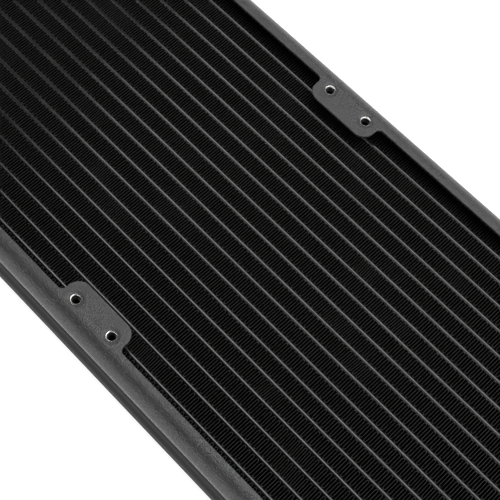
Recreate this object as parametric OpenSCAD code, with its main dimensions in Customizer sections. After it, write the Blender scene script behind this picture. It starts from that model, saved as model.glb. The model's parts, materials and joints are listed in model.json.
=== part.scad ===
// Liquid cooling radiator for two 120 mm fans: a brazed core of flat tubes and folded fins,
// a tank at each end, and a bent sheet frame with threaded fan holes on both faces.
// X runs along the tubes, Y across them, Z up through the fan face; the lower face is at z = 0.

/* [Fans] */
// Number of fans side by side along the length
fan_count = 2; // [1:1:4]
// Distance between the centres of neighbouring fans
fan_pitch = 120.5; // [115:0.5:145]
// Side of the square of screw holes on one fan
fan_hole_pitch = 105; // [95:0.5:110]
// Length of rail past the outer edge of the last fan
rail_end_margin = 0.5; // [0:0.1:5]

/* [Core] */
// Number of flat water tubes
tube_count = 18; // [12:1:18]
// Thickness of a flat tube
tube_thickness = 1.2; // [0.9:0.1:2]
// Depth of a flat tube through the core
tube_depth = 17; // [15:0.5:40]
// Wall of a flat tube
tube_wall = 0.25; // [0.15:0.05:0.35]
// Thickness of the folded fin strip
fin_thickness = 0.15; // [0.08:0.01:0.2]
// Length of one full fold of the fin strip
fin_wave = 1.74; // [1.5:0.02:3]
// How far the fin edge lies below the nose of the tubes
fin_inset = 0.3; // [0.1:0.1:1]
// Space between the last fold and the header plate
fin_end_gap = 0.6; // [0.2:0.1:3]
// Thickness of the plate that closes each side of the core
side_plate_thickness = 0.55; // [0.4:0.05:1]

/* [Frame] */
// Thickness of the bent sheet of the rails and side walls
sheet = 1; // [0.8:0.1:1.4]
// Depth from the fan face to the nose of the tubes
core_recess = 5.5; // [5:0.1:12]
// Outer radius of the rounded shoulder of a rail
shoulder_radius = 5.2; // [4:0.1:7]
// Width of a rail seen from the fan face
rail_width = 6.4; // [6:0.1:9]
// Straight stretch of an upper rail between its shoulder and the fold of its hem
leg_length = 0.1; // [0.1:0.1:2]
// Length of hem folded back behind that stretch
hem_length = 1.6; // [1.5:0.1:3]
// Length over which the hem laps the side wall
rail_lap = 0.8; // [0.5:0.1:1.2]
// Height above the lower face at which the side wall starts to step inward
bend_start = 9; // [8:0.1:11]
// Length of wall over which it steps inward by one sheet
bend_length = 2.7; // [2:0.1:3]
// Straight stretch of wall between its two inward steps
bend_rest = 0.9; // [0.5:0.1:1.5]
// Tab material beside a fan hole, along the rail
tab_side_margin = 4.75; // [4:0.05:7]
// Tab material beyond a fan hole, across the rail
tab_front_margin = 5.6; // [4.5:0.1:8]
// Radius of the free corners of a tab
tab_corner_radius = 4.2; // [1:0.1:4.4]
// Radius of the inner corner between a tab and its rail
tab_fillet_radius = 1.8; // [0.5:0.1:4]

/* [Fan nuts] */
// Radius of the threaded bore, an M3 tapping size
nut_bore_radius = 1.25; // [1:0.05:1.5]
// Radius of the nut shank in the tab
nut_shank_radius = 1.85; // [1.7:0.05:2.1]
// Radius of the nut body behind the tab
nut_body_radius = 2.25; // [2.2:0.05:2.8]
// Length of the nut body behind the tab
nut_body_length = 1.6; // [1:0.1:3]
// Space between the nut body and the start of the rail shoulder
nut_shoulder_gap = 0.05; // [0.05:0.05:2]

/* [Tanks] */
// Thickness of the header plate that the tubes pass through
header_thickness = 1.2; // [0.8:0.1:2]
// Thickness of the header lip around the tank rim
lip_thickness = 0.8; // [0.5:0.1:1]
// Length of that lip along the tank
lip_length = 2; // [1:0.1:4]
// How far the tubes stand out of the header plate inside a tank
tube_end = 1.8; // [0.5:0.1:2]
// Length of a tank beyond the header plate
tank_length = 22.8; // [22:0.1:40]
// Wall of a tank
tank_wall = 1.2; // [0.8:0.1:2]
// Distance from the fan face to the flat face of a tank
tank_setback = 1.4; // [1.2:0.1:3]
// Radius of the long edges of a tank
tank_edge_radius = 4; // [2.5:0.1:6]
// Radius of the end edges of a tank
tank_end_radius = 3; // [2.5:0.1:3.2]
// Radius of the two upright corners of a tank
tank_corner_radius = 10; // [5:0.5:14]
// Thickness of the plate that divides the inlet tank
divider_thickness = 1.2; // [0.8:0.1:3]

/* [Ports] */
// Radius of a port bore, a G1/4 tapping size
port_bore_radius = 5.9; // [5:0.05:6.2]
// Radius of a port shank inside the tank wall
port_shank_radius = 7.8; // [7.5:0.1:8]
// Radius of a port collar on the tank face
port_collar_radius = 8.6; // [8.3:0.1:8.8]
// Length of a port, collar included
port_length = 9; // [7:0.1:12]
// Width of the lead-in chamfer at the mouth of a port
port_chamfer = 0.8; // [0.3:0.1:1.2]
// Space between a port collar and the header lip
port_lip_gap = 0.2; // [0.1:0.1:0.6]
// Distance of a port axis from the side of the frame
port_inset = 24; // [20:0.5:40]

/* [Bleed plug] */
// Height of the plug head
plug_head_height = 3; // [2.6:0.1:5]
// Length of plug shank below the port face
plug_shank_length = 7; // [4:0.1:8]
// Width across the flats of the hexagon socket
plug_socket_flats = 6; // [4:0.5:8]
// Depth of the hexagon socket
plug_socket_depth = 2.2; // [1:0.1:2.4]
// Radius of the middle line of the seal ring
seal_ring_radius = 7; // [6.9:0.05:7.1]
// Radius of the section of the seal ring
seal_section_radius = 0.75; // [0.5:0.05:0.8]

/* [Fits] */
// Film of braze or solder between joined pieces
solder_gap = 0.02; // [0.01:0.01:0.05]
// Running clearance of the plug in its port and around the seal
plug_clearance = 0.05; // [0.03:0.01:0.1]

/* [Hidden] */
$fn = 64;
cut = 1;
frame_paint = "#26272a";
core_paint = "#17181a";
bare_steel = "#a9a8a4";
brass = "#b08d4e";
rubber = "#111111";

// Overall frame sizes
half_width = fan_hole_pitch / 2 + nut_body_radius + nut_shoulder_gap + shoulder_radius;
top = tube_depth + 2 * core_recess;
rail_half = fan_count * fan_pitch / 2 + rail_end_margin;
rail_inner = half_width - rail_width;
leg_drop = shoulder_radius + leg_length + sheet;
wall_drop = leg_drop - rail_lap;
lap_out = half_width - 2 * sheet - solder_gap;
lap_in = lap_out - sheet;

// Core layout
plate_out = lap_in - solder_gap;
plate_in = plate_out - side_plate_thickness;
core_half = plate_in - solder_gap;
tube_pitch = (2 * core_half + tube_thickness) / (tube_count + 1);
fin_low = tube_thickness / 2 + solder_gap;
fin_high = tube_pitch - fin_low;
fin_count = tube_count + 1;

// Fan holes and tabs
fan_hole_side = fan_hole_pitch / 2;
hole_from_tab_middle = (fan_pitch - fan_hole_pitch) / 2;
tab_half = hole_from_tab_middle + tab_side_margin;
tab_front = fan_hole_side - tab_front_margin;

// End tanks and ports
header_start = rail_half + solder_gap;
header_end = header_start + header_thickness;
tank_start = header_end + solder_gap;
tank_finish = header_end + tank_length;
tank_half_width = half_width - tank_setback;
tank_half_height = top / 2 - tank_setback;
tank_top = top - tank_setback;
port_x = header_end + lip_length + port_lip_gap + port_collar_radius;
port_side = half_width - port_inset;
plug_seat = top + plug_clearance;
plug_shank_radius = port_bore_radius - plug_clearance;
seal_recess_radius = seal_ring_radius + seal_section_radius + plug_clearance;
seal_recess_depth = 2 * seal_section_radius + plug_clearance;

function two_digits(n) = str(n < 10 ? "0" : "", n);
function tube_y(i) = (i - (tube_count - 1) / 2) * tube_pitch;
function fan_x(i) = (i - (fan_count - 1) / 2) * fan_pitch;

// A section drawn as (y, z) is carried along X from one place to another
module along_x(from, to) {
    translate([from, 0, 0]) rotate([90, 0, 90]) linear_extrude(to - from) children();
}

// A piece drawn on the +Y side is also used, mirrored, on the -Y side
module on_side(side) {
    if (side > 0) children();
    else mirror([0, 1, 0]) children();
}

// A piece drawn at the upper face is also used, mirrored, at the lower face
module on_face(face) {
    if (face > 0) children();
    else translate([0, 0, top]) mirror([0, 0, 1]) children();
}

// A piece drawn at the +X end is also used, turned round, at the -X end
module at_end(end) {
    if (end > 0) children();
    else rotate([0, 0, 180]) children();
}

module rounded_rectangle(width, height, radius) {
    square([width - 2 * radius, height], center = true);
    square([width, height - 2 * radius], center = true);
    for (sx = [-1, 1], sy = [-1, 1])
        translate([sx * (width / 2 - radius), sy * (height / 2 - radius)]) circle(radius);
}

// Flat oval of a tube as (y, z), grown by a clearance or shrunk by a wall
module tube_oval(grow) {
    thickness = tube_thickness + 2 * grow;
    straight = tube_depth - tube_thickness;
    translate([0, top / 2]) {
        square([thickness, straight], center = true);
        for (s = [-1, 1]) translate([0, s * straight / 2]) circle(thickness / 2);
    }
}

module tube(i) {
    half = header_end + tube_end;
    color(core_paint) translate([0, tube_y(i - 1), 0]) difference() {
        along_x(-half, half) tube_oval(0);
        along_x(-half - cut, half + cut) tube_oval(-tube_wall);
    }
}

// One strip folded to and fro between two tubes, with its legs nearly upright
module fin(i) {
    fold = fin_wave / 2;
    height = fin_high - fin_low;
    crest = fin_thickness * sqrt(1 + pow(height / fold, 2));
    folds = floor(2 * (rail_half - fin_end_gap) / fold);
    function fold_x(k) = (k - folds / 2) * fold;
    upper = [for (k = [0 : folds]) [fold_x(k), k % 2 == 1 ? height : crest]];
    lower = [for (k = [folds : -1 : 0]) [fold_x(k), k % 2 == 1 ? height - crest : 0]];
    color(core_paint)
        translate([0, tube_y(i - 2) + fin_low, core_recess + fin_inset])
            linear_extrude(tube_depth - 2 * fin_inset) polygon(concat(upper, lower));
}

module core_side_plate(side) {
    color(core_paint) on_side(side) along_x(-rail_half, rail_half)
        translate([plate_in, core_recess]) square([side_plate_thickness, tube_depth]);
}

// Pan of the header: the tube plate and the lip that wraps the tank rim
module header_plate(end) {
    lip = solder_gap + lip_thickness;
    color(frame_paint) at_end(end) difference() {
        along_x(header_start, header_end + lip_length) tank_section(-lip);
        along_x(header_end, header_end + lip_length + cut) tank_section(-solder_gap);
        for (i = [0 : tube_count - 1]) translate([0, tube_y(i), 0])
            along_x(header_start - cut, header_end + cut) tube_oval(solder_gap);
    }
}

// Cross section of a tank as (y, z), made smaller by an inset
module tank_section(inset) {
    translate([0, top / 2])
        rounded_rectangle(2 * (tank_half_width - inset), 2 * (tank_half_height - inset),
            tank_edge_radius - inset);
}

// Rounded block of a tank from a start to its end, made smaller all round by an inset
module tank_block(start, inset) {
    finish = tank_finish - inset;
    reach = 2 * tank_length;
    middle = finish - reach / 2;
    intersection() {
        along_x(start, finish) tank_section(inset);
        translate([middle, 0, 0]) linear_extrude(top)
            rounded_rectangle(reach, 2 * (tank_half_width - inset), tank_corner_radius - inset);
        translate([middle, half_width, top / 2]) rotate([90, 0, 0]) linear_extrude(2 * half_width)
            rounded_rectangle(reach, 2 * (tank_half_height - inset), tank_end_radius - inset);
    }
}

module tank(end, port_places) {
    color(frame_paint) at_end(end) difference() {
        tank_block(tank_start, 0);
        tank_block(tank_start - cut, tank_wall);
        for (y = port_places) translate([port_x, y, top / 2])
            cylinder(r = port_shank_radius + solder_gap, h = top);
    }
}

// Plate that parts the inlet tank into the way in and the way out
module flow_divider() {
    color(frame_paint) intersection() {
        tank_block(tank_start, tank_wall + solder_gap);
        translate([tank_start, -divider_thickness / 2, 0])
            cube([tank_length, divider_thickness, top]);
    }
}

// Threaded bush: a collar on the tank face, a shank through its wall and a chamfered bore
module port(end, y) {
    shank_length = port_length - tank_setback + solder_gap;
    color(brass) at_end(end) translate([port_x, y, top - port_length]) difference() {
        union() {
            cylinder(r = port_shank_radius, h = shank_length);
            translate([0, 0, shank_length])
                cylinder(r = port_collar_radius, h = port_length - shank_length);
        }
        translate([0, 0, -cut]) cylinder(r = port_bore_radius, h = port_length + 2 * cut);
        translate([0, 0, port_length - port_chamfer])
            cylinder(r1 = port_bore_radius, r2 = port_bore_radius + port_chamfer, h = port_chamfer);
    }
}

// Side wall of a lower rail as (y, depth below the fan face), with two inward steps that bring it behind
// the upper hem
module side_wall_section() {
    middle = (half_width + lap_out) / 2;
    first_end = bend_start + bend_length;
    second_start = first_end + bend_rest;
    second_end = second_start + bend_length;
    wall_end = top - wall_drop;
    mitre = sheet * tan(atan((half_width - middle) / bend_length) / 2);
    outer = [[half_width, shoulder_radius], [half_width, bend_start], [middle, first_end],
        [middle, second_start], [lap_out, second_end], [lap_out, wall_end]];
    inner = [[lap_in, wall_end], [lap_in, second_end - mitre],
        [middle - sheet, second_start - mitre], [middle - sheet, first_end - mitre],
        [half_width - sheet, bend_start - mitre], [half_width - sheet, shoulder_radius]];
    polygon(concat(outer, inner));
}

// Lower edge of an upper rail, drawn from the middle of its shoulder: a short straight stretch, folded
// back behind itself
module hem_section() {
    translate([shoulder_radius - sheet, 0]) square([sheet, leg_length]);
    translate([shoulder_radius - sheet, leg_length]) {
        rotate(180) square([sheet, hem_length - sheet]);
        intersection() {
            circle(sheet);
            translate([-sheet, 0]) square([2 * sheet, sheet]);
        }
    }
}

// Flange, rounded shoulder and lower edge of a far rail as (y, depth), turned to the upper face
module rail_section(face) {
    translate([0, top]) mirror([0, 1]) {
        translate([half_width - shoulder_radius, shoulder_radius]) {
            translate([0, -shoulder_radius]) mirror([1, 0]) square([rail_width - shoulder_radius, sheet]);
            intersection() {
                difference() {
                    circle(shoulder_radius);
                    circle(shoulder_radius - sheet);
                }
                mirror([0, 1]) square(shoulder_radius);
            }
            if (face > 0) hem_section();
        }
        if (face < 0) side_wall_section();
    }
}

// Tab for the holes of two neighbouring fans, with round free corners and filleted roots
module tab_outline() {
    root = rail_inner + (rail_width - shoulder_radius) / 2;
    shoulder_y = tab_front + tab_corner_radius;
    translate([-tab_half, shoulder_y]) square([2 * tab_half, root - shoulder_y]);
    straight = tab_half - tab_corner_radius;
    translate([-straight, tab_front]) square([2 * straight, root - tab_front]);
    for (s = [-1, 1]) {
        translate([s * straight, shoulder_y]) circle(tab_corner_radius);
        translate([s * (tab_half + tab_fillet_radius / 2), rail_inner - tab_fillet_radius / 2])
            difference() {
                square(tab_fillet_radius, center = true);
                translate([s * tab_fillet_radius / 2, -tab_fillet_radius / 2])
                    circle(tab_fillet_radius);
            }
    }
}

// Places of the fan holes along one rail
fan_hole_x = [for (i = [0 : fan_count - 1], s = [-1, 1]) fan_x(i) + s * fan_hole_pitch / 2];

module rail(side, face) {
    color(frame_paint) on_face(face) on_side(side) difference() {
        union() {
            along_x(-rail_half, rail_half) rail_section(face);
            translate([0, 0, top - sheet]) linear_extrude(sheet) intersection() {
                for (i = [0 : fan_count]) translate([fan_x(i - 0.5), 0]) tab_outline();
                translate([-rail_half, 0]) square([2 * rail_half, half_width]);
            }
        }
        for (x = fan_hole_x) translate([x, fan_hole_side, top - sheet - cut])
            cylinder(r = nut_shank_radius + solder_gap, h = sheet + 2 * cut);
    }
}

// Pressed nuts of one face: a shank flush in the tab and a body behind it
module fan_nuts(face) {
    body_top = top - sheet - solder_gap;
    color(bare_steel) on_face(face)
        for (x = fan_hole_x, side = [-1, 1]) translate([x, side * fan_hole_side, 0])
            difference() {
                union() {
                    translate([0, 0, body_top - nut_body_length])
                        cylinder(r = nut_body_radius, h = nut_body_length);
                    translate([0, 0, body_top - cut / 2])
                        cylinder(r = nut_shank_radius, h = top - body_top + cut / 2);
                }
                translate([0, 0, body_top - nut_body_length - cut])
                    cylinder(r = nut_bore_radius, h = nut_body_length + sheet + 3 * cut);
            }
}

module bleed_plug_seal() {
    color(rubber) at_end(-1)
        translate([port_x, -port_side, top + plug_clearance + seal_section_radius])
            rotate_extrude() translate([seal_ring_radius, 0]) circle(seal_section_radius);
}

// Screw plug: round head with a hexagon socket, a recess for the seal and a plain-drawn thread
module bleed_plug() {
    socket_radius = plug_socket_flats / 2 / cos(30);
    color(bare_steel) at_end(-1) translate([port_x, -port_side, plug_seat]) difference() {
        union() {
            cylinder(r = port_collar_radius, h = plug_head_height);
            translate([0, 0, -plug_shank_length])
                cylinder(r = plug_shank_radius, h = plug_shank_length + cut);
        }
        difference() {
            translate([0, 0, -cut]) cylinder(r = seal_recess_radius, h = seal_recess_depth + cut);
            translate([0, 0, -2 * cut])
                cylinder(r = plug_shank_radius, h = seal_recess_depth + 3 * cut);
        }
        translate([0, 0, plug_head_height - plug_socket_depth])
            cylinder(r = socket_radius, h = plug_socket_depth + cut, $fn = 6);
    }
}

for (i = [1 : tube_count])
    tube(i);
for (i = [1 : fin_count])
    fin(i);
core_side_plate(-1);  // core_side_plate_near
core_side_plate(1);  // core_side_plate_far
header_plate(1);  // header_plate_inlet
header_plate(-1);  // header_plate_return
tank(1, [-port_side, port_side]);  // inlet_tank
tank(-1, [-port_side]);  // return_tank
flow_divider();
port(1, -port_side);  // inlet_port
port(1, port_side);  // outlet_port
port(-1, -port_side);  // bleed_port
rail(-1, 1);  // top_rail_near
rail(1, 1);  // top_rail_far
rail(-1, -1);  // bottom_rail_near
rail(1, -1);  // bottom_rail_far
fan_nuts(1);  // fan_nuts_top
fan_nuts(-1);  // fan_nuts_bottom
bleed_plug_seal();
bleed_plug();
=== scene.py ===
import json

import bmesh
import bpy
import numpy as np
from mathutils import Matrix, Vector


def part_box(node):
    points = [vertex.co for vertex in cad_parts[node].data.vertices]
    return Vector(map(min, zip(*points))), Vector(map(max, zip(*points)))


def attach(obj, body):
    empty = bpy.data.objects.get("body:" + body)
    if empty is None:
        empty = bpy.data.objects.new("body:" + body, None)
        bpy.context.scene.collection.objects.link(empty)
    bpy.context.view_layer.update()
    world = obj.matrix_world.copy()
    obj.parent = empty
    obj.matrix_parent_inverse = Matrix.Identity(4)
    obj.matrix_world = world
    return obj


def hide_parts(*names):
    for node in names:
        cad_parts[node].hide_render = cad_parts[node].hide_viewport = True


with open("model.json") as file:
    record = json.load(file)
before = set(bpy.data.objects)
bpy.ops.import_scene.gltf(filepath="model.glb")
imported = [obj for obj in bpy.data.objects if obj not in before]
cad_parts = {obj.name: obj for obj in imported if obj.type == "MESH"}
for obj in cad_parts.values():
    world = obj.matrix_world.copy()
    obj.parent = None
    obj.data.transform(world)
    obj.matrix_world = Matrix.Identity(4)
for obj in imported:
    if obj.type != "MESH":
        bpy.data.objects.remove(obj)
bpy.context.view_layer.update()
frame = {"nodes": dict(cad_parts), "record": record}

# Flat tubes
# Thin brass strip rolled to a flat oval, soldered shut, tinned and painted with the whole core.
# They carry the coolant from tank to tank, and only their narrow noses catch the light.
mm = 0.001
rng = np.random.default_rng(7)
tube_names = sorted(name for name in frame["nodes"] if name.startswith("tube_"))
tube_wall = 0.25 * mm
tube_nose_points = 11
tube_steps = 160
tube_sway = 0.03 * mm
tube_long_wave = 21 * mm
tube_short_wave = 8 * mm
tube_black = (0.012, 0.012, 0.012)
tube_grey = (0.03, 0.03, 0.03)
tube_refraction = 1.68
tube_roughness = 0.08
tube_patch_size = 9 * mm
tube_patch_levels = (0.35, 0.75)
tube_patch_share = 0.6
tube_patch_roughness = 0.05
tube_spot_size = 0.6 * mm
tube_spot_levels = (0.6, 0.75)
tube_spot_share = 0.5
tube_peel_size = 0.45 * mm
tube_peel_height = 0.015 * mm
weld_reach = 0.002 * mm


def quads(rows, cols, close_rows, close_cols):
    """Cell (i, j) of a grid joins its four corner points; a closed way runs on from its end to its start."""
    i = np.arange(rows if close_rows else rows - 1)[:, None]
    j = np.arange(cols if close_cols else cols - 1)[None, :]
    after_i, after_j = (i + 1) % rows, (j + 1) % cols
    corners = (i * cols + j, i * cols + after_j, after_i * cols + after_j, after_i * cols + j)
    return np.stack(np.broadcast_arrays(*corners), -1).reshape(-1, 4)


def weld(name, grids, finish, replaced, body="radiator", outward=None, sharp_angle=40):
    """One mesh from grids of points, joined where they meet, with its faces turned outward.

    Each grid is (points, closed along rows, closed along columns). An open sheet gives outward, a
    function that scores how far a face centre and its normal point to the outside.
    """
    points, faces, first = [], [], 0
    for grid, close_rows, close_cols in grids:
        points.append(grid.reshape(-1, 3))
        faces.append(quads(*grid.shape[:2], close_rows, close_cols) + first)
        first += len(points[-1])
    mesh = bpy.data.meshes.new(name)
    mesh.from_pydata(np.concatenate(points).tolist(), [], np.concatenate(faces).tolist())
    joined = bmesh.new()
    joined.from_mesh(mesh)
    bmesh.ops.remove_doubles(joined, verts=joined.verts, dist=weld_reach)
    bmesh.ops.recalc_face_normals(joined, faces=joined.faces)
    if outward and sum(outward(f.calc_center_median(), f.normal) * f.calc_area() for f in joined.faces) < 0:
        bmesh.ops.reverse_faces(joined, faces=joined.faces)
    joined.to_mesh(mesh)
    joined.free()
    mesh.polygons.foreach_set("use_smooth", np.ones(len(mesh.polygons), bool))
    mesh.set_sharp_from_angle(angle=np.radians(sharp_angle))
    mesh.materials.append(finish)
    piece = bpy.data.objects.new(name, mesh)
    bpy.context.scene.collection.objects.link(piece)
    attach(piece, body)
    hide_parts(*replaced)
    return piece


class Wire:
    """A shader socket in an expression: arithmetic on wires and numbers adds the Math nodes."""

    def __init__(self, tree, socket):
        self.tree, self.socket = tree, socket

    def make(self, kind, settings, sockets, out=0):
        """Adds a node of a kind, sets its settings, fills its sockets and gives one output."""
        node = self.tree.nodes.new(kind)
        for key, value in settings.items():
            setattr(node, key, value)
        for key, value in sockets.items():
            if isinstance(value, Wire):
                self.tree.links.new(value.socket, node.inputs[key])
            else:
                node.inputs[key].default_value = value
        return Wire(self.tree, node.outputs[out])

    def math(self, operation, left, right):
        """One Math node on two values, wires or numbers."""
        return self.make("ShaderNodeMath", {"operation": operation}, {0: left, 1: right})

    def __add__(self, other):
        return self.math("ADD", self, other)

    def __radd__(self, other):
        return self.math("ADD", other, self)

    def __sub__(self, other):
        return self.math("SUBTRACT", self, other)

    def __rsub__(self, other):
        return self.math("SUBTRACT", other, self)

    def __mul__(self, other):
        return self.math("MULTIPLY", self, other)

    def __rmul__(self, other):
        return self.math("MULTIPLY", other, self)

    def noise(self, size, detail=2.0):
        """Smooth noise, 0 to 1, whose lumps are about one size across."""
        return self.make("ShaderNodeTexNoise", {}, {"Vector": self, "Scale": 1 / size, "Detail": detail})

    def between(self, low, high):
        """0 below one level and 1 above another, smooth between them."""
        return self.make("ShaderNodeMapRange", {"interpolation_type": "SMOOTHSTEP"},
                         {"Value": self, "From Min": low, "From Max": high})

    def mix(self, first, second):
        """A colour that goes from the first to the second as this wire goes from 0 to 1.

        The Mix node's colour sockets share their names with others, so they are taken by number.
        """
        settings = {"data_type": "RGBA"}
        return self.make("ShaderNodeMix", settings, {0: self, 6: first, 7: second}, out=2)

    def bump(self, height):
        """A normal that follows this wire as a relief of some height."""
        return self.make("ShaderNodeBump", {}, {"Height": self, "Distance": height, "Strength": 1.0})


def new_finish(name, fixed=None):
    """A material, its shader with fixed values set, and the object's own coordinates to draw with."""
    material = bpy.data.materials.new(name)
    material.use_nodes = True
    tree = material.node_tree
    shader = tree.nodes["Principled BSDF"]
    for key, value in (fixed or {}).items():
        shader.inputs[key].default_value = value
    place = Wire(tree, tree.nodes.new("ShaderNodeTexCoord").outputs["Object"])
    return material, shader, place


def feed(shader, wires):
    """Links each wire to the shader's socket of that name."""
    for key, wire in wires.items():
        wire.tree.links.new(wire.socket, shader.inputs[key])


def rgba(colour):
    """A colour as a socket takes it, fully opaque."""
    return (*colour, 1.0)


def tube_paint():
    """Thin satin paint over tinned brass: nearly black, greyer in patches and spots, with orange peel."""
    material, shader, place = new_finish("tube_paint", {"IOR": tube_refraction})
    patches = place.noise(tube_patch_size).between(*tube_patch_levels)
    spots = place.noise(tube_spot_size, detail=4.0).between(*tube_spot_levels)
    rubbed = patches * tube_patch_share + spots * tube_spot_share
    feed(shader, {
        "Base Color": rubbed.mix(rgba(tube_black), rgba(tube_grey)),
        "Roughness": tube_roughness + tube_patch_roughness * patches,
        "Normal": place.noise(tube_peel_size).bump(tube_peel_height),
    })
    return material


def oval(thickness, depth):
    """Closed (y, z) section of a flat tube: half circles of half the thickness, joined by straight sides."""
    angle = np.linspace(0, np.pi, tube_nose_points)
    nose = thickness / 2 * np.stack([np.cos(angle), np.sin(angle)], 1)
    rise = np.array([0, (depth - thickness) / 2])
    return np.concatenate([nose + rise, -nose - rise])


def carried(section, x, shift):
    """Grid of a (y, z) section carried along x, moved at each step by a (y, z) shift."""
    grid = np.empty((len(x), len(section), 3))
    grid[:, :, 0] = x[:, None]
    grid[:, :, 1:] = section[None] + shift[:, None]
    return grid


tube_finish = tube_paint()
for name in tube_names:
    low, high = np.array(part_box(name))
    middle = (low + high) / 2
    thickness, depth = high[1] - low[1], high[2] - low[2]
    x = np.linspace(low[0], high[0], tube_steps)
    phase = rng.uniform(0, 2 * np.pi, 2)
    waves = np.sin(x / tube_long_wave + phase[0]) + np.sin(x / tube_short_wave + phase[1])
    sway = tube_sway * waves / 2
    shift = middle[1:] + np.stack([sway, np.zeros_like(x)], 1)
    outer = carried(oval(thickness, depth), x, shift)
    inner = carried(oval(thickness - 2 * tube_wall, depth - 2 * tube_wall), x[[0, -1]], shift[[0, -1]])
    rings = [(np.stack([outer[end], inner[end]]), False, True) for end in (0, -1)]
    weld(f"{name}_painted", [(outer, False, True), (inner, False, True), *rings],
         tube_finish, [name])

# Folded fins
# One long copper strip for each row, pleated to and fro between two tubes and soldered at its folds.
# The pleats are never even: here and there a few are pushed together and lean over. Half way down they
# are bent along the tubes, which stirs the air and closes the view through the core.
fin_names = sorted(name for name in frame["nodes"] if name.startswith("fin_"))
fin_fold = 0.87 * mm
fin_strip = 0.13 * mm
fin_chevron = 0.9 * mm
fin_turn_steps = 6
fin_black = (0.0012, 0.0012, 0.0012)
# Grey for faces that point up or down: partly thin paint on the cut edges, partly a painted highlight.
fin_edge_highlight = (0.055, 0.055, 0.055)
fin_highlight_facing = (0.4, 0.8)
fin_highlight_share = 0.55
fin_highlight_shine = 0.2
fin_patch_size = 1.1 * mm
fin_patch_levels = (0.3, 0.7)
fin_patch_share = 0.9
fin_roughness = 0.55
fin_jitter = 0.025 * mm
crowd_count = 4
crowd_shift = 1.1 * mm
crowd_reach = 6 * mm
crowd_lean = 0.3 * mm


def pleats(length, low_y, high_y):
    """Middle line (x, y) of one strip: round turns at both sides in turn, joined by straight legs.

    The legs stand one fold apart, closer where the strip is crowded: u less a sum of smooth steps.
    """
    count = int((length + crowd_count * crowd_shift) / fin_fold)
    u = (np.arange(count + 1) - count / 2) * fin_fold
    places = rng.uniform(-length / 2, length / 2, crowd_count)
    strength = crowd_shift * rng.uniform(0, 1, crowd_count)
    step = (u[:, None] - places) / crowd_reach
    x = u - (strength * np.tanh(step)).sum(1) + rng.uniform(-fin_jitter, fin_jitter, count + 1)
    x = (x - x[0]) / (x[-1] - x[0]) * length - length / 2
    way = rng.choice([-1, 1], crowd_count)
    lean = crowd_lean * (way * strength / crowd_shift / np.cosh(step) ** 2).sum(1)
    side = np.where(np.arange(count) % 2 == 0, 1, -1)
    start, end = x[:-1] + side * lean[:-1] / 2, x[1:] + side * lean[1:] / 2
    radius = (end - start) / 2
    reach = radius + fin_strip / 2
    turn_y = np.where(side > 0, high_y - reach, low_y + reach)
    angle = np.linspace(np.pi, 0, fin_turn_steps + 1)
    turn_x = (start + end)[:, None] / 2 + radius[:, None] * np.cos(angle)
    turn_y = turn_y[:, None] + side[:, None] * radius[:, None] * np.sin(angle)
    return np.stack([turn_x.ravel(), turn_y.ravel()], 1)


def standing_strip(line, thickness, low_z, high_z):
    """Grids of a strip on edge: the line moved half a thickness to both sides, at three heights.

    The middle height is moved along x against the other two, which bends the strip to a chevron.
    """
    along = np.gradient(line, axis=0)
    across = np.stack([-along[:, 1], along[:, 0]], 1) / np.linalg.norm(along, axis=1)[:, None]
    middle_z = (low_z + high_z) / 2
    side = np.array([1, -1, -1, -1, 1, 1])
    bend = np.array([-1, -1, 1, -1, -1, 1]) * fin_chevron / 2
    grid = np.empty((len(line), len(side), 3))
    grid[:, :, :2] = line[:, None] + across[:, None] * side[:, None] * thickness / 2
    grid[:, :, 0] += bend
    grid[:, :, 2] = [high_z, high_z, middle_z, low_z, low_z, middle_z]
    caps = [(grid[end][[[0, 5, 4], [1, 2, 3]]], False, False) for end in (0, -1)]
    return [(grid, False, True), *caps]


def fin_paint():
    """Matt black dip paint. Faces that point up or down, the strip's cut edges, are painted grey: partly thin
    paint there, partly a painted highlight of the light that falls on them from above.
    """
    material, shader, place = new_finish("fin_paint", {"Specular IOR Level": 0.0})
    facing = place.make("ShaderNodeNewGeometry", {}, {}, out="True Normal")
    upward = place.make("ShaderNodeSeparateXYZ", {}, {0: facing}, out="Z")
    patches = place.noise(fin_patch_size, detail=3.0).between(*fin_patch_levels)
    # Faces that point up or down, the cut edges, get the grey: a painted highlight where light from above
    # falls, along with thinner paint there.
    edge = (upward * upward).between(*fin_highlight_facing) * (fin_highlight_share + fin_patch_share * patches)
    feed(shader, {
        "Base Color": edge.mix(rgba(fin_black), rgba(fin_edge_highlight)),
        "Roughness": fin_roughness - fin_highlight_shine * edge,
    })
    return material


fin_finish = fin_paint()
for name in fin_names:
    low, high = np.array(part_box(name))
    line = pleats(high[0] - low[0] - fin_chevron, low[1], high[1])
    strip = standing_strip(line, fin_strip, low[2], high[2])
    weld(f"{name}_pleated", strip, fin_finish, [name], sharp_angle=50)

# Core side plates
# Flat strips that close the outer fin rows, hidden between the core and the side walls. They are
# soldered to the folds of those rows and painted with the core.
for name in ("core_side_plate_near", "core_side_plate_far"):
    frame["nodes"][name].data.materials.clear()
    frame["nodes"][name].data.materials.append(tube_finish)

# Header plates and flow divider
# Pressed brass pans that the tube ends are soldered into, with a lip round the tank's rim.
# The divider is a plain plate inside the inlet tank. All get the tank's powder coat.
coat_black = (0.026, 0.026, 0.027)
coat_grey = (0.041, 0.041, 0.042)
coat_refraction = 1.55
coat_grain_size = 0.36 * mm
coat_grain_height = 0.23 * mm
coat_grain_share = 0.8
coat_grain_roughness = 0.12
coat_cloud_size = 14 * mm
coat_cloud_share = 0.3


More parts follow.
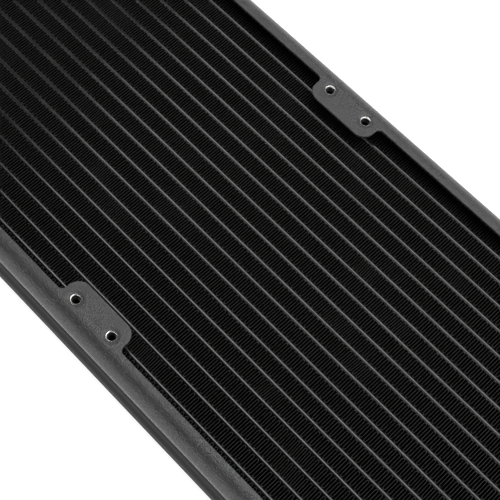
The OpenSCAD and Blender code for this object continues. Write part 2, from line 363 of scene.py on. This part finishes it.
def powder_coat(name, roughness=0.15, specular=0.46):
    """Baked powder coat: charcoal with a fine sandy grain that breaks up the shine."""
    material, shader, place = new_finish(name, {"IOR": coat_refraction, "Specular IOR Level": specular})
    grain = place.noise(coat_grain_size, detail=1.5)
    clouds = place.noise(coat_cloud_size)
    greyed = grain * coat_grain_share + clouds * coat_cloud_share
    feed(shader, {
        "Base Color": greyed.mix(rgba(coat_black), rgba(coat_grey)),
        "Roughness": roughness + coat_grain_roughness * grain,
        "Normal": grain.bump(coat_grain_height),
    })
    return material


tank_finish = powder_coat("tank_coat")
for name in ("header_plate_inlet", "header_plate_return", "flow_divider"):
    frame["nodes"][name].data.materials.clear()
    frame["nodes"][name].data.materials.append(tank_finish)

# End tanks
# Shells drawn from brass sheet, with round edges and corners, soldered into the header plates.
# The port bushes stand in round holes in the upper wall.
tank_wall = 1.2 * mm
tank_edge = 4 * mm
tank_end_edge = 3 * mm
tank_corner = 10 * mm
tank_edge_steps = 8
tank_corner_steps = 12
tank_side_steps = 12
tank_end_steps = 24
tank_face_rings = 8
port_shank = 7.8 * mm


def middle_of(name):
    """Middle of a node's box."""
    low, high = np.array(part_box(name))
    return (low + high) / 2


def drilled_plate(border, hole, radius, rings, z):
    """Grid of a flat plate, on straight lines from a round hole's centre out to a closed border."""
    out = border - hole
    reach = np.linalg.norm(out, axis=1)
    t = np.linspace(0, 1, rings)[:, None]
    r = radius * (1 - t) + reach * t
    grid = np.empty((rings, len(border), 3))
    grid[:, :, :2] = hole + (out / reach[:, None])[None] * r[:, :, None]
    grid[:, :, 2] = z
    return grid, False, True


def straight(start, end, count):
    """Points from start up to, but not including, end."""
    t = np.arange(count)[:, None] / count
    return np.array(start) * (1 - t) + np.array(end) * t


def arc(centre, radius, first, last, count):
    """Points on a circle from one angle, in degrees, up to but not including another."""
    angle = np.radians(first + (last - first) * np.arange(count) / count)
    return np.array(centre) + radius * np.stack([np.cos(angle), np.sin(angle)], 1)


def tank_shell(name, holes):
    """Grids of a tank: a round-edged wall carried along the U of its rim, and two flat faces, in halves.

    A wall point is rim(s) - out(s) * edge(s) * (1 - sin a), at z = face -+ edge(s) * (1 - cos a).
    Each half is worked out at the +X end for y above 0, and then flipped into place.
    """
    low, high = np.array(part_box(name))
    side = 1 if high[0] > 0 else -1
    start, finish = sorted(abs(np.array([low[0], high[0]])))
    half = high[1]
    bend = half - tank_corner
    rim = np.concatenate([
        straight([start, 0], [finish - tank_corner, 0], tank_side_steps) + [0, half],
        arc([finish - tank_corner, bend], tank_corner, 90, 0, tank_corner_steps),
        straight([finish, bend], [finish, 0], tank_end_steps),
        [[finish, 0]],
    ])
    turn = np.linspace(90, 0, tank_corner_steps, endpoint=False)
    angle = np.radians(np.concatenate([np.full(tank_side_steps, 90), turn, np.zeros(tank_end_steps + 1)]))
    out = np.stack([np.cos(angle), np.sin(angle)], 1)
    edge = tank_end_edge + (tank_edge - tank_end_edge) * np.sin(angle) ** 2
    bow = np.linspace(0, np.pi / 2, tank_edge_steps + 1)
    inset = edge[:, None] * (1 - np.sin(bow))
    drop = edge[:, None] * (1 - np.cos(bow))
    grids = []
    for mirror in (1, -1):
        flip = np.array([side, side * mirror, 1])
        wall = np.empty((len(rim), 2 * len(bow), 3))
        plan = rim[:, None] - out[:, None] * inset[:, :, None]
        wall[:, :len(bow), :2], wall[:, len(bow):, :2] = plan, plan[:, ::-1]
        wall[:, :len(bow), 2] = high[2] - drop
        wall[:, len(bow):, 2] = (low[2] + drop)[:, ::-1]
        grids.append((wall * flip, False, False))
        inner = plan[:, 0]
        border = np.concatenate([
            inner,
            straight(inner[-1], [start, 0], tank_side_steps),
            straight([start, 0], inner[0], tank_end_steps),
        ])
        for z, centres in ((high[2], holes), (low[2], [])):
            drilled = [hole * flip[:2] for hole in centres if (hole * flip[:2])[1] > 0]
            hole = drilled[0] if drilled else border.mean(0)
            grid, *closed = drilled_plate(border, hole, port_shank if drilled else 0.0, tank_face_rings, z)
            grids.append((grid * flip, *closed))
    return grids


def from_axis(low, high):
    """Scores a face as pointing outward when it looks away from the middle line of a box, taken along Y."""
    centre = (low + high) / 2
    return lambda place, normal: (place.x - centre[0]) * normal.x + (place.z - centre[2]) * normal.z


for name, ports in (("inlet_tank", ["inlet_port", "outlet_port"]), ("return_tank", ["bleed_port"])):
    low, high = np.array(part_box(name))
    holes = [middle_of(port)[:2] for port in ports]
    shell = weld(f"{name}_shell", tank_shell(name, holes), tank_finish, [name],
                 outward=from_axis(low, high))
    wall = shell.modifiers.new("wall", "SOLIDIFY")
    wall.thickness, wall.offset, wall.use_even_offset = tank_wall, -1, True

# Port bushes
# Turned brass bushes soldered into the tanks. The collar is painted over with the tank, and the
# thread inside was cut last, so it is bare.
port_names = ("inlet_port", "outlet_port", "bleed_port")
port_pitch = 1.337 * mm
port_thread = 0.62 * mm
port_turn_steps = 72
port_bore = 5.9 * mm
port_chamfer = 0.8 * mm
port_mouth_rim = 0.25 * mm
port_mouth_drop = 0.15 * mm
port_lead_rim = 0.15 * mm
port_lead_rise = 0.1 * mm
port_thread_end = 0.2 * mm
port_collar_round = 0.5 * mm
port_bare_margin = 0.1 * mm
thread_points = 8
thread_blunt = 0.125
port_refraction = 1.5
port_roughness = 0.5
port_grain_size = 0.32 * mm
port_grain_height = 0.02 * mm
brass_light = (0.60, 0.44, 0.20)
brass_dark = (0.36, 0.25, 0.10)
brass_shine = 0.22
stain_size = 2.5 * mm
stain_roughness = 0.08


def thread_wave(z, angle, pitch):
    """Height 0 to 1 of a right-hand thread: a blunt triangle wave of z less the pitch for each turn."""
    turn = z / pitch - angle / (2 * np.pi)
    wave = np.abs(2 * (turn - np.floor(turn)) - 1)
    return np.clip((1 + 2 * thread_blunt) * wave - thread_blunt, 0, 1)


def turned(profile, centre, steps, pitch=0.0, depth=0.0):
    """Grid of an (r, z, cut) profile spun about an axis; a cut of 1 adds the thread's depth to r."""
    r, z, cut = np.array(profile, float).T
    angle = np.linspace(0, 2 * np.pi, steps, endpoint=False)[:, None]
    radius = np.broadcast_to(r, (steps, len(r))).copy()
    if pitch:
        radius += cut * depth * thread_wave(z, angle, pitch)
    grid = np.empty((steps, len(r), 3))
    grid[:, :, 0] = centre[0] + radius * np.cos(angle)
    grid[:, :, 1] = centre[1] + radius * np.sin(angle)
    grid[:, :, 2] = z
    return grid


def rounded(r, z, size, r_side, z_side):
    """Three profile points that ease a corner at (r, z), coming from one side and leaving by the other."""
    bend = size * (1 - np.sqrt(0.5))
    return [(r + r_side * size, z, 0), (r + r_side * bend, z + z_side * bend, 0), (r, z + z_side * size, 0)]


def port_paint():
    """Painted brass outside; inside the bore's mouth the paint ends and bare cut brass begins."""
    material, shader, place = new_finish("port_brass", {"IOR": port_refraction})
    bare = place.make("ShaderNodeAttribute", {"attribute_name": "bare"}, {}, out="Fac")
    stain = place.noise(stain_size, detail=4.0)
    brass = stain.mix(rgba(brass_light), rgba(brass_dark))
    grain = place.noise(port_grain_size, detail=3.0)
    paint = grain.mix(rgba(coat_black), rgba(coat_grey))
    feed(shader, {
        "Base Color": bare.mix(paint, brass),
        "Metallic": bare,
        "Roughness": port_roughness - bare * brass_shine + stain * stain_roughness,
        "Normal": grain.bump(port_grain_height),
    })
    return material


def mark_bare(piece, centre, radius):
    """Marks the points inside a radius of an axis, where the coating was cut away."""
    mesh = piece.data
    points = np.empty(len(mesh.vertices) * 3)
    mesh.vertices.foreach_get("co", points)
    near = np.linalg.norm(points.reshape(-1, 3)[:, :2] - centre[:2], axis=1) < radius
    mesh.attributes.new("bare", "FLOAT", "POINT").data.foreach_set("value", near.astype(np.float32))


port_finish = port_paint()
for name in port_names:
    low, high = np.array(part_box(name))
    centre = (low + high) / 2
    collar = (high[0] - low[0]) / 2
    top, bottom = high[2], low[2]
    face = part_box("inlet_tank")[1].z
    thread_top = top - port_chamfer
    thread_count = int((thread_top - bottom) / port_pitch * thread_points)
    thread = np.linspace(thread_top, bottom + port_thread_end, thread_count)
    mouth = port_bore + port_chamfer
    profile = [
        (mouth + port_mouth_rim, top, 0), (mouth, top - port_mouth_drop, 0),
        (port_bore + port_lead_rim, thread_top + port_lead_rise, 0), *[(port_bore, z, 1) for z in thread],
        (port_bore, bottom, 0), (port_shank, bottom, 0), (port_shank, face, 0),
        (collar, face, 0), *rounded(collar, top, port_collar_round, -1, -1)[::-1],
    ]
    surface = turned(profile, centre, port_turn_steps, port_pitch, port_thread)
    bush = weld(f"{name}_bush", [(surface, True, True)], port_finish, [name], sharp_angle=35)
    mark_bare(bush, centre, mouth + port_bare_margin)

# Face rails and side walls
# Sheet rails bent over a round shoulder, with a tab for the fan holes between and beside the fans. The
# lower ones run up as the side walls and step in twice, to pass behind the folded hems of the upper ones.
# The nuts were pressed in, so the tab is dished a little round each hole, and the coat runs over their rims.
sheet = 1 * mm
hem_length = 1.6 * mm
hem_crease = 0.03 * mm
bend_start = 9 * mm
bend_length = 2.7 * mm
bend_rest = 0.9 * mm
bend_ease = 0.15 * mm
lap_step = 1.01 * mm
lap_points = 9
wall_lead = 0.3 * mm
hem_steps = 10
shoulder = 5.2 * mm
shoulder_steps = 24
rail_inner_width = 6.2 * mm
tab_corner = 4.2 * mm
tab_fillet = 1.8 * mm
fillet_join_angle = 112
tab_side_margin = 4.75 * mm
rail_split = 0.15 * mm
hole_radius = 1.7 * mm
dish_depth = 0.25 * mm
dish_reach = 1.2 * mm
dish_fade = 0.4 * mm
ring_steps = 20
seam_steps = 28
seam_digits = 7
strip_steps = 40
strip_rows = 8
tab_fillet_steps = 8
tab_flank_steps = 2
tab_corner_steps = 12
tab_front_steps = 10
tab_stop_steps = 12
edge_round = 0.25 * mm
edge_round_steps = 3
edge_round_angle = 50
bend_inside_y = 45 * mm
bend_inside_depth = 12 * mm
fan_mounts = [mount for mount in frame["record"]["mounts"] if mount["name"].endswith("_top")]
fan_hole_pitch = fan_mounts[0]["dims"]["spacing_x_mm"] * mm
fan_hole_y = fan_mounts[0]["dims"]["spacing_y_mm"] * mm / 2
fan_centres = sorted(mount["pos_m"][0] for mount in fan_mounts)
fan_pitch = fan_centres[1] - fan_centres[0]


def rail_drop(y, flat_end):
    """Depth of the rail's outer face below the fan face: past the flat, a circle of the shoulder's radius."""
    past = np.clip(y - flat_end, 0, shoulder)
    return shoulder - np.sqrt(shoulder ** 2 - past ** 2)


def half_tab(stop, half_length, front, inner, outer):
    """Closed border of half a tab and the rail behind it, in (x from the tab's middle, y).

    It meets the plain rail on an upright line a little way round the tab's inner fillet.
    """
    fillet = np.array([half_length + tab_fillet, inner - tab_fillet])
    join = arc(fillet, tab_fillet, fillet_join_angle, 180, 1)[0]
    return np.concatenate([
        straight([-stop, outer], [join[0], outer], seam_steps),
        straight([join[0], outer], join, strip_rows),
        arc(fillet, tab_fillet, fillet_join_angle, 180, tab_fillet_steps),
        straight([half_length, inner - tab_fillet], [half_length, front + tab_corner], tab_flank_steps),
        arc([half_length - tab_corner, front + tab_corner], tab_corner, 0, -90, tab_corner_steps),
        straight([half_length - tab_corner, front], [-stop, front], tab_front_steps),
        straight([-stop, front], [-stop, outer], tab_stop_steps),
    ])


def plain_rail(left, right, half_length, inner, outer, flat_end):
    """Grid of the rail between the tabs at left and right, in straight rows from the split to its inner edge.

    Beside a tab that edge follows the start of the tab's fillet, a circle about the fillet's centre.
    """
    turn = tab_fillet * np.cos(np.radians([fillet_join_angle, (fillet_join_angle + 90) / 2]))
    near = half_length + tab_fillet + turn
    middle = np.linspace(left + half_length + tab_fillet, right - half_length - tab_fillet, strip_steps)
    x = np.concatenate([left + near, middle, right - near[::-1]])
    into = np.clip(half_length + tab_fillet - np.minimum(x - left, right - x), 0, None)
    edge = inner - tab_fillet + np.sqrt(tab_fillet ** 2 - into ** 2)
    y = outer + (edge - outer)[:, None] * np.linspace(0, 1, strip_rows + 1)
    grid = np.empty((*y.shape, 3))
    grid[:, :, 0], grid[:, :, 1], grid[:, :, 2] = x[:, None], y, -rail_drop(y, flat_end)
    return grid


def eased(t):
    """0 to 1 with level ends: 3 t^2 - 2 t^3."""
    t = np.clip(t, 0, 1)
    return t * t * (3 - 2 * t)


def dish(r):
    """Depth of the dish at a distance from a hole: full at its edge, easing out to nothing."""
    return dish_depth * (1 - eased((r - hole_radius) / dish_reach))


def stepped_wall(outer_y, depth):
    """Side wall (y, z) below a shoulder: two inward steps of one sheet, then straight to its edge.

    Each step goes down by t and in by 3 t^2 - 2 t^3.
    """
    t = np.linspace(0, 1, lap_points)
    step = np.stack([-lap_step * eased(t), -t * (bend_length + 2 * bend_ease)], 1)
    first = [outer_y, bend_ease - bend_start] + step
    second = first - [lap_step, bend_length + bend_rest]
    return np.concatenate([[[outer_y, -shoulder - wall_lead]], first, second, [[second[-1, 0], -depth]]])


def hem(outer_y, depth):
    """Lower edge (y, z) of an upper rail: a half circle of one sheet's radius, then up behind it."""
    fold = arc([outer_y - sheet, sheet - depth], sheet, 0, -180, hem_steps)
    return np.concatenate([fold, [[outer_y - 2 * sheet, hem_length - depth]]])


def rail_sheet(name):
    """Grids of a rail's outer face on the far side, seen from above: tab plates, strips and the shoulder."""
    low, high = np.array(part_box(name))
    outer_y, front = np.abs([low[1], high[1]]).max(), np.abs([low[1], high[1]]).min()
    end = high[0]
    depth = high[2] - low[2]
    flat_end = outer_y - shoulder
    inner = outer_y - rail_inner_width
    split = flat_end + rail_split
    half_length = (fan_pitch - fan_hole_pitch) / 2 + tab_side_margin
    middles = [fan_centres[0] - fan_pitch / 2 + k * fan_pitch for k in range(len(fan_centres) + 1)]
    ring_t = np.linspace(0, 1, ring_steps)[:, None] ** 2
    grids, seam_x = [], []
    for middle in middles:
        for way in (1, -1):
            hole = np.array([(fan_pitch - fan_hole_pitch) / 2, fan_hole_y])
            if abs(middle + way * hole[0]) > end:
                continue
            outermost = abs(middle) > fan_pitch / 2
            stop = max(0.0, end - abs(middle)) if outermost else 0.0
            border = half_tab(stop, half_length, front, inner, split)
            out = border - hole
            reach = np.linalg.norm(out, axis=1)
            r = hole_radius * (1 - ring_t) + reach * ring_t
            plan = hole + (out / reach[:, None])[None] * r[:, :, None]
            grid = np.empty((*r.shape, 3))
            grid[:, :, 0] = middle + way * plan[:, :, 0]
            grid[:, :, 1] = plan[:, :, 1]
            grid[:, :, 2] = -dish(r) * eased((reach - r) / dish_fade) - rail_drop(plan[:, :, 1], flat_end)
            grids.append((grid, False, True))
            seam_x.append(middle + way * border[:seam_steps + 1, 0])
    for left, right in zip(middles[:-1], middles[1:]):
        strip = plain_rail(left, right, half_length, inner, split, flat_end)
        grids.append((strip, False, False))
        seam_x.append(strip[:, 0, 0])
    x = np.unique(np.round(np.concatenate(seam_x), seam_digits))
    first = np.degrees(np.arcsin(rail_split / shoulder))
    bow = arc([flat_end, -shoulder], shoulder, 90 - first, 0, shoulder_steps)
    lower_edge = stepped_wall(outer_y, depth) if name.startswith("bottom") else hem(outer_y, depth)
    leg = np.concatenate([bow, lower_edge])
    grids.append((carried(leg, x, np.zeros((len(x), 2))), False, False))
    return grids


def away_from(y, z):
    """Scores a face as pointing outward when it looks away from a line along X at (y, z)."""
    return lambda place, normal: (place.y - y) * normal.y + (place.z - z) * normal.z


frame_finish = powder_coat("frame_coat")
wall_finish = powder_coat("wall_coat", roughness=0.55, specular=0.15)
for name, side, face in (("top_rail_near", -1, 1), ("top_rail_far", 1, 1),
                         ("bottom_rail_near", -1, -1), ("bottom_rail_far", 1, -1)):
    low, high = np.array(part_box(name))
    level = high[2] if face > 0 else low[2]
    grids = [(grid * [1, side, face] + [0, 0, level], *closed) for grid, *closed in rail_sheet(name)]
    rail = weld(f"{name}_bent", grids, frame_finish if face > 0 else wall_finish, [name],
                outward=away_from(side * bend_inside_y, level - face * bend_inside_depth))
    wall = rail.modifiers.new("sheet", "SOLIDIFY")
    wall.thickness, wall.offset, wall.use_even_offset = sheet - hem_crease, -1, True
    soft = rail.modifiers.new("soft_edges", "BEVEL")
    soft.width, soft.segments, soft.limit_method = edge_round, edge_round_steps, "ANGLE"
    soft.angle_limit = np.radians(edge_round_angle)

# Fan nuts
# Small steel nuts pressed into the tabs before coating. Their rounded mouths were cut afterwards and
# shine as bare metal; the threads behind are painted black, a painted shade deep in the bore.
nut_pitch = 0.5 * mm
nut_thread = 0.24 * mm
nut_bore = 1.25 * mm
nut_shank = 1.68 * mm
nut_body = 2.25 * mm
nut_mouth = 0.41 * mm
nut_lead = 0.75 * mm
nut_land = 0.1 * mm
nut_mouth_points = 8
nut_thread_points = 6
nut_thread_end = 0.1 * mm
nut_rim_edge = 0.02 * mm
nut_back_edge = 0.15 * mm
nut_seat_gap = 0.02 * mm
nut_turn_steps = 36
steel_light = (0.72, 0.71, 0.69)
steel_dark = (0.42, 0.41, 0.40)
# Black of the deep thread: painted shade in the bore.
bore_shade_black = (0.012, 0.012, 0.012)
bore_roughness = 0.45
bore_shade_fade = 0.1 * mm
steel_shine = 0.25
steel_grain_size = 0.12 * mm
steel_grain_height = 0.008 * mm
smear_size = 0.9 * mm
smear_levels = (0.45, 0.75)
smear_roughness = 0.1


def cut_steel():
    """Bare bright steel within the mouth's depth of either fan face, and black further in: painted shade deep
    in the bore.
    """
    material, shader, place = new_finish("nut_steel")
    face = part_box("fan_nuts_top")[1].z
    depth_from_middle = place.make("ShaderNodeSeparateXYZ", {}, {0: place}, out="Z") - face / 2
    throat = face / 2 - dish_depth - nut_lead - nut_land
    # Past the mouth the colour goes to black: painted shade, deeper in the bore from either face.
    bare = (depth_from_middle * depth_from_middle).between(throat ** 2, (throat + bore_shade_fade) ** 2)
    smear = place.noise(smear_size, detail=4.0).between(*smear_levels)
    steel = smear.mix(rgba(steel_light), rgba(steel_dark))
    feed(shader, {
        "Base Color": bare.mix(rgba(bore_shade_black), steel),
        "Metallic": bare,
        "Roughness": bore_roughness - steel_shine * bare + smear_roughness * smear,
        "Normal": place.noise(steel_grain_size).bump(steel_grain_height),
    })
    return material


def fan_nut(x, y, level, behind, face):
    """Grid of one nut: rounded mouth, thread, back face, body and shank, as one closed turned profile."""
    throat = dish_depth + nut_lead + nut_land
    thread_count = int((behind - throat) / nut_pitch * nut_thread_points)
    thread = np.linspace(throat, behind - nut_thread_end, thread_count)
    turn = np.radians(np.linspace(0, 90, nut_mouth_points))
    profile = [
        (nut_shank, dish_depth + nut_rim_edge, 0), (nut_shank - nut_rim_edge, dish_depth, 0),
        *zip(nut_bore + nut_mouth * (1 - np.sin(turn)), dish_depth + nut_lead * (1 - np.cos(turn)), turn * 0),
        *[(nut_bore, depth, 1) for depth in thread],
        (nut_bore, behind, 0), (nut_body - nut_back_edge, behind, 0), (nut_body, behind - nut_back_edge, 0),
        (nut_body, sheet + nut_seat_gap, 0), (nut_shank, sheet + nut_seat_gap, 0),
    ]
    grid = turned(profile, (x, y), nut_turn_steps, nut_pitch, nut_thread)
    grid[:, :, 2] = level - face * grid[:, :, 2]
    return grid, True, True


nut_finish = cut_steel()
for name, face in (("fan_nuts_top", 1), ("fan_nuts_bottom", -1)):
    low, high = np.array(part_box(name))
    level = high[2] if face > 0 else low[2]
    behind = high[2] - low[2]
    grids = [fan_nut(centre + way * fan_hole_pitch / 2, side * fan_hole_y, level, behind, face)
             for centre in fan_centres for way in (1, -1) for side in (1, -1)]
    weld(f"{name}_threaded", grids, nut_finish, [name], sharp_angle=35)

# Bleed plug seal
# Moulded rubber ring in a recess under the plug's head. It closes the bleed port when the plug is
# screwed down, and stays on the plug when it is taken out.
seal_steps = 64
seal_section_steps = 20
seal_black = (0.012, 0.012, 0.012)
seal_bloom = (0.03, 0.03, 0.03)
seal_refraction = 1.45
seal_roughness = 0.62
bloom_size = 1.2 * mm
bloom_roughness = 0.2
seal_grain_size = 0.25 * mm
seal_grain_height = 0.01 * mm


def seal_rubber():
    """Matt rubber with a dusty bloom."""
    material, shader, place = new_finish("seal_rubber", {"IOR": seal_refraction})
    bloom = place.noise(bloom_size, detail=4.0)
    feed(shader, {
        "Base Color": bloom.mix(rgba(seal_black), rgba(seal_bloom)),
        "Roughness": seal_roughness + bloom_roughness * bloom,
        "Normal": place.noise(seal_grain_size).bump(seal_grain_height),
    })
    return material


low, high = np.array(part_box("bleed_plug_seal"))
seal_middle = (low + high) / 2
seal_section = (high[2] - low[2]) / 2
seal_ring = (high[0] - low[0]) / 2 - seal_section
angle = np.linspace(0, 2 * np.pi, seal_section_steps, endpoint=False)
profile = np.stack([seal_ring + seal_section * np.cos(angle), seal_middle[2] + seal_section * np.sin(angle),
                    np.zeros_like(angle)], 1)
weld("bleed_plug_seal_ring", [(turned(profile, seal_middle, seal_steps), True, True)],
     seal_rubber(), ["bleed_plug_seal"], body="plug_seal")

# Bleed plug
# Turned brass screw plug with black plating: a knurled round head with a hexagon socket, and a
# thread that shows when it is unscrewed.
plug_socket_flats = 6 * mm
plug_socket_depth = 2.2 * mm
plug_socket_lead = 0.25 * mm
plug_socket_flare = 1.08
plug_socket_cone = 0.3 * mm
plug_shank = 5.85 * mm
plug_thread = 0.55 * mm
plug_thread_end = 0.6 * mm
plug_tip_inset = 1.0 * mm
plug_tip_shoulder = 0.6 * mm
plug_tip_height = 0.5 * mm
plug_head = 3 * mm
plug_recess = 7.8 * mm
plug_recess_depth = 1.55 * mm
head_lower_inset = 0.3 * mm
head_lower_rise = 0.35 * mm
head_upper_drop = 0.5 * mm
head_crown_inset = 0.45 * mm
head_crown_drop = 0.12 * mm
head_top_inset = 0.7 * mm
plug_turn_steps = 144
knurl_count = 48
knurl_depth = 0.16 * mm
plug_black = (0.03, 0.03, 0.032)
plug_worn = (0.11, 0.105, 0.10)
plug_refraction = 1.6
plug_roughness = 0.34
plug_metallic = 0.35
plug_grain_size = 0.15 * mm
plug_grain_height = 0.006 * mm
wear_size = 3 * mm
wear_levels = (0.5, 0.8)
wear_roughness = 0.14
wear_metallic = 0.3


def black_plating():
    """Satin black plating over brass, slightly worn to grey in patches, with a fine grain."""
    material, shader, place = new_finish("plug_finish", {"IOR": plug_refraction})
    wear = place.noise(wear_size, detail=4.0).between(*wear_levels)
    feed(shader, {
        "Base Color": wear.mix(rgba(plug_black), rgba(plug_worn)),
        "Metallic": plug_metallic + wear_metallic * wear,
        "Roughness": plug_roughness + wear_roughness * wear,
        "Normal": place.noise(plug_grain_size).bump(plug_grain_height),
    })
    return material


def screw_plug(low, high):
    """Grid of the plug as rings (r, z, cut, knurl) of one closed surface, from its tip to the socket's floor.

    Head rings carry a knurl, r + depth * |sin|; socket rings are a hexagon, flats / 2 / cos(angle to flat).
    """
    centre = (low + high) / 2
    head = (high[0] - low[0]) / 2
    top, bottom = high[2], low[2]
    seat = top - plug_head
    recess_top = seat + plug_recess_depth
    root = plug_shank - plug_thread
    thread_count = int((seat - bottom) / port_pitch * thread_points)
    thread = np.linspace(bottom + plug_thread_end, seat - plug_thread_end, thread_count)
    rings = [
        (0, bottom, 0, 0), (plug_shank - plug_tip_inset, bottom, 0, 0),
        (plug_shank - plug_tip_shoulder, bottom + plug_tip_height, 0, 0), *[(root, z, 1, 0) for z in thread],
        (root, seat, 0, 0), (root, recess_top, 0, 0),
        (plug_recess, recess_top, 0, 0), (plug_recess, seat, 0, 0),
        (head - head_lower_inset, seat, 0, 0), (head - knurl_depth, seat + head_lower_rise, 0, 1),
        (head - knurl_depth, top - head_upper_drop, 0, 1),
        (head - head_crown_inset, top - head_crown_drop, 0, 0), (head - head_top_inset, top, 0, 0),
    ]
    socket = [(top, plug_socket_flare), (top - plug_socket_lead, 1.0), (top - plug_socket_depth, 1.0)]
    angle = np.linspace(0, 2 * np.pi, plug_turn_steps, endpoint=False)[:, None]
    r, z, cut, knurl = np.array(rings).T
    radius = r + cut * plug_thread * thread_wave(z, angle, port_pitch)
    radius = radius + knurl * knurl_depth * np.abs(np.sin(knurl_count / 2 * angle))
    to_flat = (angle + np.pi / 6) % (np.pi / 3) - np.pi / 6
    hexagon = [plug_socket_flats / 2 * grow / np.cos(to_flat) for _, grow in socket]
    radius = np.concatenate([radius, *hexagon, np.zeros_like(angle)], 1)
    z = np.concatenate([z, [level for level, _ in socket], [top - plug_socket_depth - plug_socket_cone]])
    grid = np.empty((*radius.shape, 3))
    grid[:, :, 0] = centre[0] + radius * np.cos(angle)
    grid[:, :, 1] = centre[1] + radius * np.sin(angle)
    grid[:, :, 2] = z
    return grid


weld("bleed_plug_turned", [(screw_plug(*np.array(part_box("bleed_plug"))), True, False)],
     black_plating(), ["bleed_plug"], body="plug", sharp_angle=32)

# Floor, light and camera
# A plain white floor and backdrop under a large soft panel, with a long low strip in front and the room
# dark above it, and a long lens that looks down on the middle tabs. From below, the floor is clear.
floor_size = 3.0
floor_level = -0.02 * mm
floor_white = 0.95
floor_grey = 0.25
panel_middle = (0.18, 0.22, 0.75)
panel_size = (1.2, 0.62)
panel_power = 8.75
strip_middle = (0, -0.9, 0.14)
strip_size = (1.6, 0.24)
strip_power = 3.6
near_backdrop = 0.8
far_backdrop = 1.9
backdrop_top = (0.05, 0.4)
backdrop_turn = (-0.2, 0.6)
room_light = 0.045
lens = 86.1
sensor_width = 36
camera_place = (0.11083, -0.11876, 0.34842)
camera_right = (0.6938, 0.7186, 0.0482)
camera_up = (-0.6673, 0.6162, 0.4183)


def soft_lamp(name, middle, size, power, tilt):
    """A rectangular lamp that shines straight down, or turned by a tilt about X."""
    light = bpy.data.lights.new(name, "AREA")
    light.shape, light.size, light.size_y = "RECTANGLE", *size
    light.energy = power
    lamp = bpy.data.objects.new(name, light)
    lamp.location = middle
    lamp.rotation_euler.x = tilt
    bpy.context.scene.collection.objects.link(lamp)


corner = floor_size / 2
floor_mesh = bpy.data.meshes.new("floor")
corners = [(-corner, -corner, floor_level), (corner, -corner, floor_level),
           (corner, corner, floor_level), (-corner, corner, floor_level)]
floor_mesh.from_pydata(corners, [], [(0, 1, 2, 3)])
floor = bpy.data.objects.new("floor", floor_mesh)
bpy.context.scene.collection.objects.link(floor)
floor_finish, floor_shader, place = new_finish("floor_white", {
    "Base Color": rgba((floor_grey,) * 3),
    "Roughness": 0.9,
    "Specular IOR Level": 0.0,
    "Emission Strength": 1.0,
})
seen, mirrored, through = (place.make("ShaderNodeLightPath", {}, {}, out=kind)
                           for kind in ("Is Camera Ray", "Is Glossy Ray", "Is Transmission Ray"))
under = place.make("ShaderNodeNewGeometry", {}, {}, out="Backfacing")
feed(floor_shader, {"Emission Color": floor_white * (seen + mirrored + through), "Alpha": 1 - under})
floor_mesh.materials.append(floor_finish)

world = bpy.data.worlds.new("room")
bpy.context.scene.world = world
world.use_nodes = True
backdrop = world.node_tree.nodes["Background"]
gaze = Wire(world.node_tree, world.node_tree.nodes.new("ShaderNodeTexCoord").outputs["Generated"])
height, depth = (gaze.make("ShaderNodeSeparateXYZ", {}, {0: gaze}, out=axis) for axis in "ZY")
seen = gaze.make("ShaderNodeLightPath", {}, {}, out="Is Camera Ray")
white = near_backdrop + (far_backdrop - near_backdrop) * depth.between(*backdrop_turn)
sweep = (1 - height.between(*backdrop_top)) * white + room_light
world.node_tree.links.new((seen + (1 - seen) * sweep).socket, backdrop.inputs["Strength"])
backdrop.inputs["Color"].default_value = (1, 1, 1, 1)

soft_lamp("panel", panel_middle, panel_size, panel_power, 0)
soft_lamp("strip", strip_middle, strip_size, strip_power, np.pi / 2)

camera = bpy.data.cameras.new("camera")
camera.lens, camera.sensor_width = lens, sensor_width
viewer = bpy.data.objects.new("camera", camera)
right, up = np.array(camera_right), np.array(camera_up)
view = np.eye(4)
view[:3] = np.stack([right, up, np.cross(right, up), camera_place], 1)
viewer.matrix_world = Matrix(view.tolist())
bpy.context.scene.collection.objects.link(viewer)
bpy.context.scene.camera = viewer
bpy.context.scene.view_settings.view_transform = "Standard"
